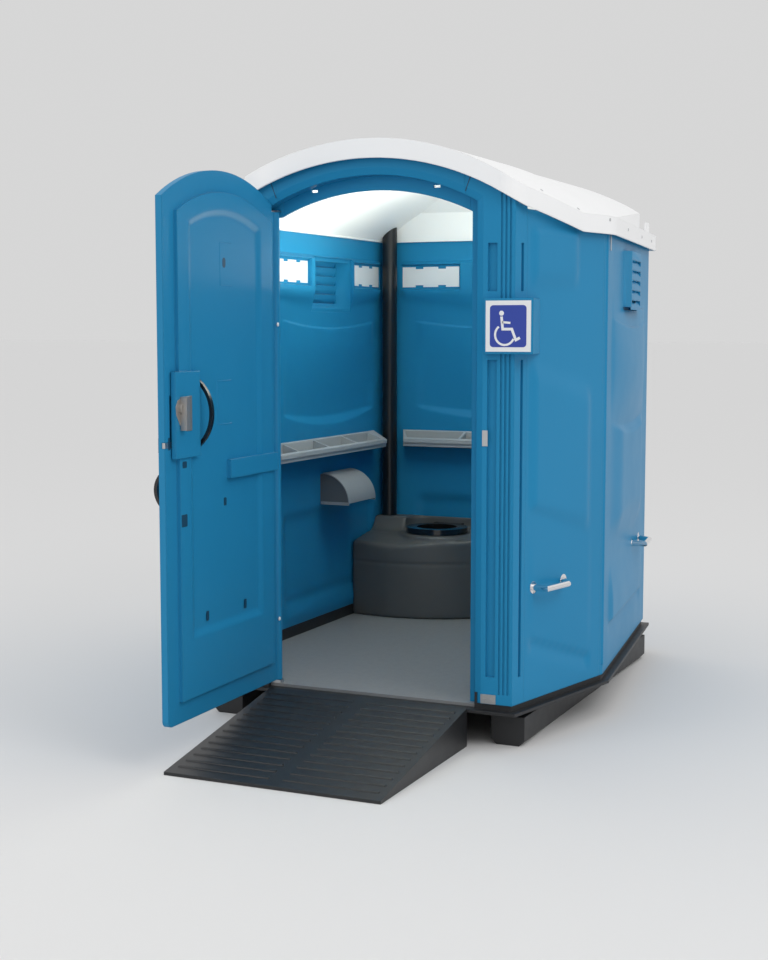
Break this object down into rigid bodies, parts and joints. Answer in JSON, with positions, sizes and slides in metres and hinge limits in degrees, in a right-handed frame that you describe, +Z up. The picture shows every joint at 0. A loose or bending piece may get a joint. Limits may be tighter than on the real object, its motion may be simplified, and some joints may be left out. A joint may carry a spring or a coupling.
{
  "type": "portable toilet cabin",
  "caption": "Wide portable toilet cabin on skids with a ramp, arched door, domed roof, tank with seat, shelves, paper holder, side grab bars and an access sign.",
  "frame": {"origin": "centre of the whole outline at rest in plan, on the ground", "axes": "+X to the right seen from the front, +Y from the front to the back, +Z up"},
  "size_m": [1.7084, 2.8692, 2.345],
  "materials": {
    "shell_blue": "satin moulded plastic",
    "door_blue": "satin moulded plastic",
    "roof_white": "satin, lets light through",
    "base_black": "matt",
    "ramp_black": "matt, ribbed",
    "floor_grey": "fine grained",
    "tank_grey": "satin",
    "shelf_grey": "satin",
    "holder_grey": "satin",
    "cover_grey": "glossy",
    "seat_black": "glossy",
    "pipe_black": "satin",
    "handle_black": "glossy",
    "steel": "brushed",
    "bright_steel": "polished",
    "latch_grey": "cast, satin",
    "plate_white": "matt",
    "sign_face": "glossy",
    "paper": "soft paper",
    "flag_green": "glossy"
  },
  "bodies": {
    "cabin": {"access_ramp": "ramp_black", "base_pan": "base_black", "cover_pin": "steel", "door_header": "shell_blue", "floor_tread": "floor_grey", "foot_bolts": "steel", "foot_bracket_left": "steel", "foot_bracket_right": "steel", "front_post_left": "shell_blue", "front_post_right": "shell_blue", "grab_bar_front_left": "bright_steel", "grab_bar_front_right": "bright_steel", "grab_bar_rear_left": "bright_steel", "grab_bar_rear_right": "bright_steel", "hinge_bracket_high": "steel", "hinge_bracket_low": "steel", "hinge_pin_high": "steel", "hinge_pin_low": "steel", "notice_plate_rear": "plate_white", "notice_plates_left": "plate_white", "paper_holder": "holder_grey", "paper_spindle": "holder_grey", "rear_panel": "shell_blue", "rear_post_left": "shell_blue", "rear_post_right": "shell_blue", "roof_shell": "roof_white", "seam_post_left": "shell_blue", "seam_post_right": "shell_blue", "seat_bracket": "seat_black", "seat_pin": "steel", "shelf_left": "shelf_grey", "shelf_rear": "shelf_grey", "side_panel_front_left": "shell_blue", "side_panel_front_right": "shell_blue", "side_panel_rear_left": "shell_blue", "side_panel_rear_right": "shell_blue", "sign_box": "shell_blue", "sign_plate": "sign_face", "skid_left": "base_black", "skid_right": "base_black", "strike_plate": "steel", "vent_cap": "pipe_black", "vent_pipe": "pipe_black", "waste_tank": "tank_grey"},
    "door": {"door_leaf": "door_blue", "pull_inner": "handle_black", "pull_outer": "handle_black", "indicator_box": "handle_black"},
    "lever": {"latch_lever": "latch_grey"},
    "bolt": {"latch_bolt": "steel", "occupancy_flag": "flag_green"},
    "seat": {"seat_ring": "seat_black"},
    "cover": {"paper_cover": "cover_grey"},
    "roll_front": {"paper_roll_1": "paper"},
    "roll_back": {"paper_roll_2": "paper"}
  },
  "joints": [
    {"name": "door_hinge", "type": "hinge", "parent": "cabin", "child": "door", "pos_m": [-0.36407, -0.55889, 1.12], "axis": [0, 0, 1], "range_deg": [0, 88.8]},
    {"name": "lever_turn", "type": "hinge", "parent": "door", "child": "lever", "pos_m": [-0.31746, -1.35158, 1.322], "axis": [0.9998, 0.0209, 0], "range_deg": [0, 90]},
    {"name": "bolt_slide", "type": "slide", "parent": "door", "child": "bolt", "axis": [0.0209, -0.9998, 0], "range_m": [0, 0.024]},
    {"name": "seat_hinge", "type": "hinge", "parent": "cabin", "child": "seat", "pos_m": [-0.36257, 1.32761, 0.591], "axis": [-1, 0, 0], "range_deg": [0, 92]},
    {"name": "cover_hinge", "type": "hinge", "parent": "cabin", "child": "cover", "pos_m": [-0.73957, 0.76461, 0.765], "axis": [0, 1, 0], "range_deg": [0, 80]},
    {"name": "roll_front_spin", "type": "hinge", "parent": "cabin", "child": "roll_front", "pos_m": [-0.67757, 0.69561, 0.827], "axis": [0, 1, 0], "continuous": true},
    {"name": "roll_back_spin", "type": "hinge", "parent": "cabin", "child": "roll_back", "pos_m": [-0.67757, 0.83361, 0.827], "axis": [0, 1, 0], "continuous": true}
  ],
  "couplings": [
    {"joint": "bolt_slide", "follows": "lever_turn", "m_per_rad": 0.015279}
  ]
}
